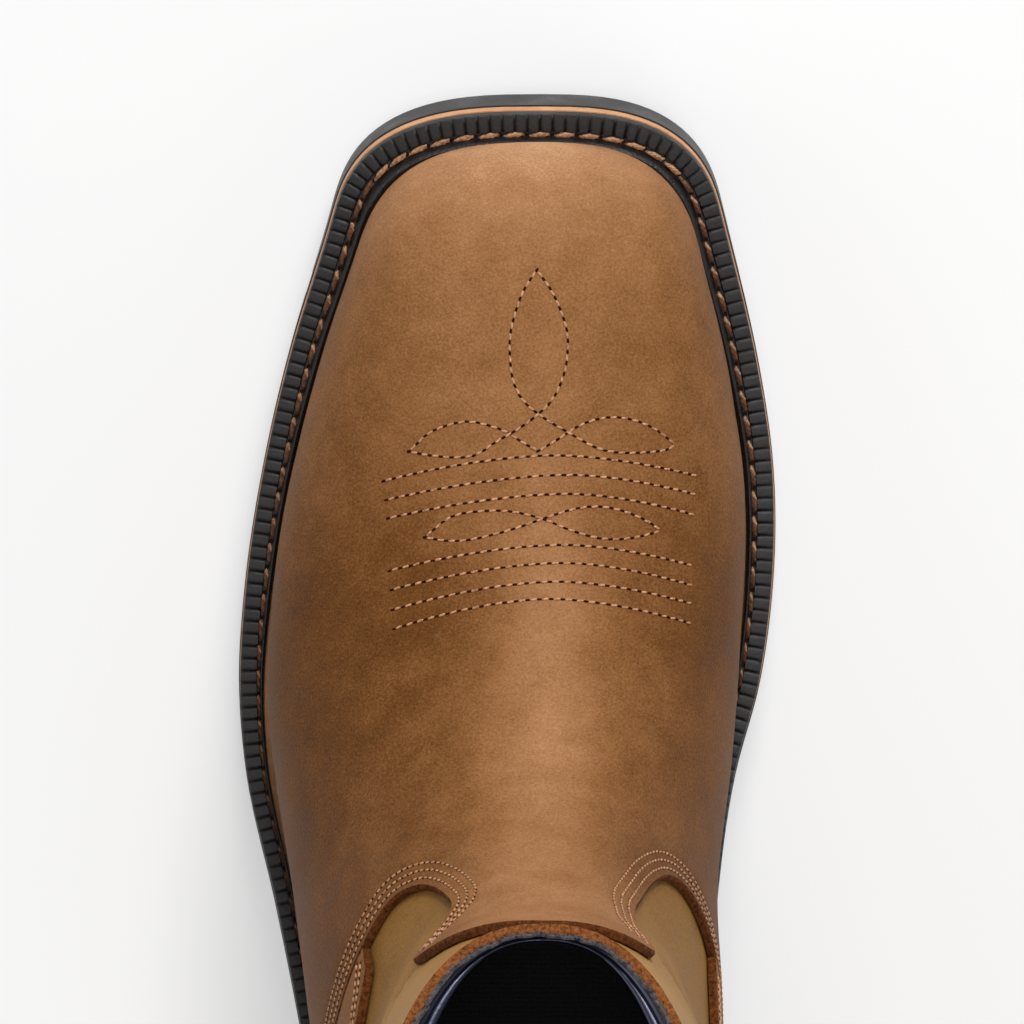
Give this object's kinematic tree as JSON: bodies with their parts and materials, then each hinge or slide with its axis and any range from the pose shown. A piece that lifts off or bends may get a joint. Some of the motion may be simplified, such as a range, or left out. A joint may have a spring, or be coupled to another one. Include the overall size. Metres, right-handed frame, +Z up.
{
  "type": "pull-on work boot",
  "caption": "Left pull-on work boot with a broad square toe: hollow leather upper with tall shaft, vamp and counter overlays, welted lugged rubber sole and block heel.",
  "frame": {"origin": "on the floor, under the middle of the boot's bounding box", "axes": "+Z up, -Y towards the toe, +X towards the outer (lateral) side of this left boot"},
  "size_m": [0.1196, 0.312, 0.2722],
  "materials": {
    "outsole_rubber": "black moulded rubber, dull",
    "heel_rubber": "black moulded rubber, dull",
    "midsole_tan": "tan rubber layer, cut edge",
    "welt_black": "black ribbed storm welt, satin",
    "insole_lining": "dark textile sock",
    "shaft_leather": "olive tan oiled leather",
    "vamp_leather": "mid brown oiled nubuck leather",
    "counter_leather": "mid brown oiled nubuck leather"
  },
  "bodies": {
    "root": {"outsole": "outsole_rubber", "heel": "heel_rubber", "midsole": "midsole_tan", "welt": "welt_black", "insole": "insole_lining", "upper": "shaft_leather", "vamp": "vamp_leather", "counter": "counter_leather"}
  },
  "joints": []
}
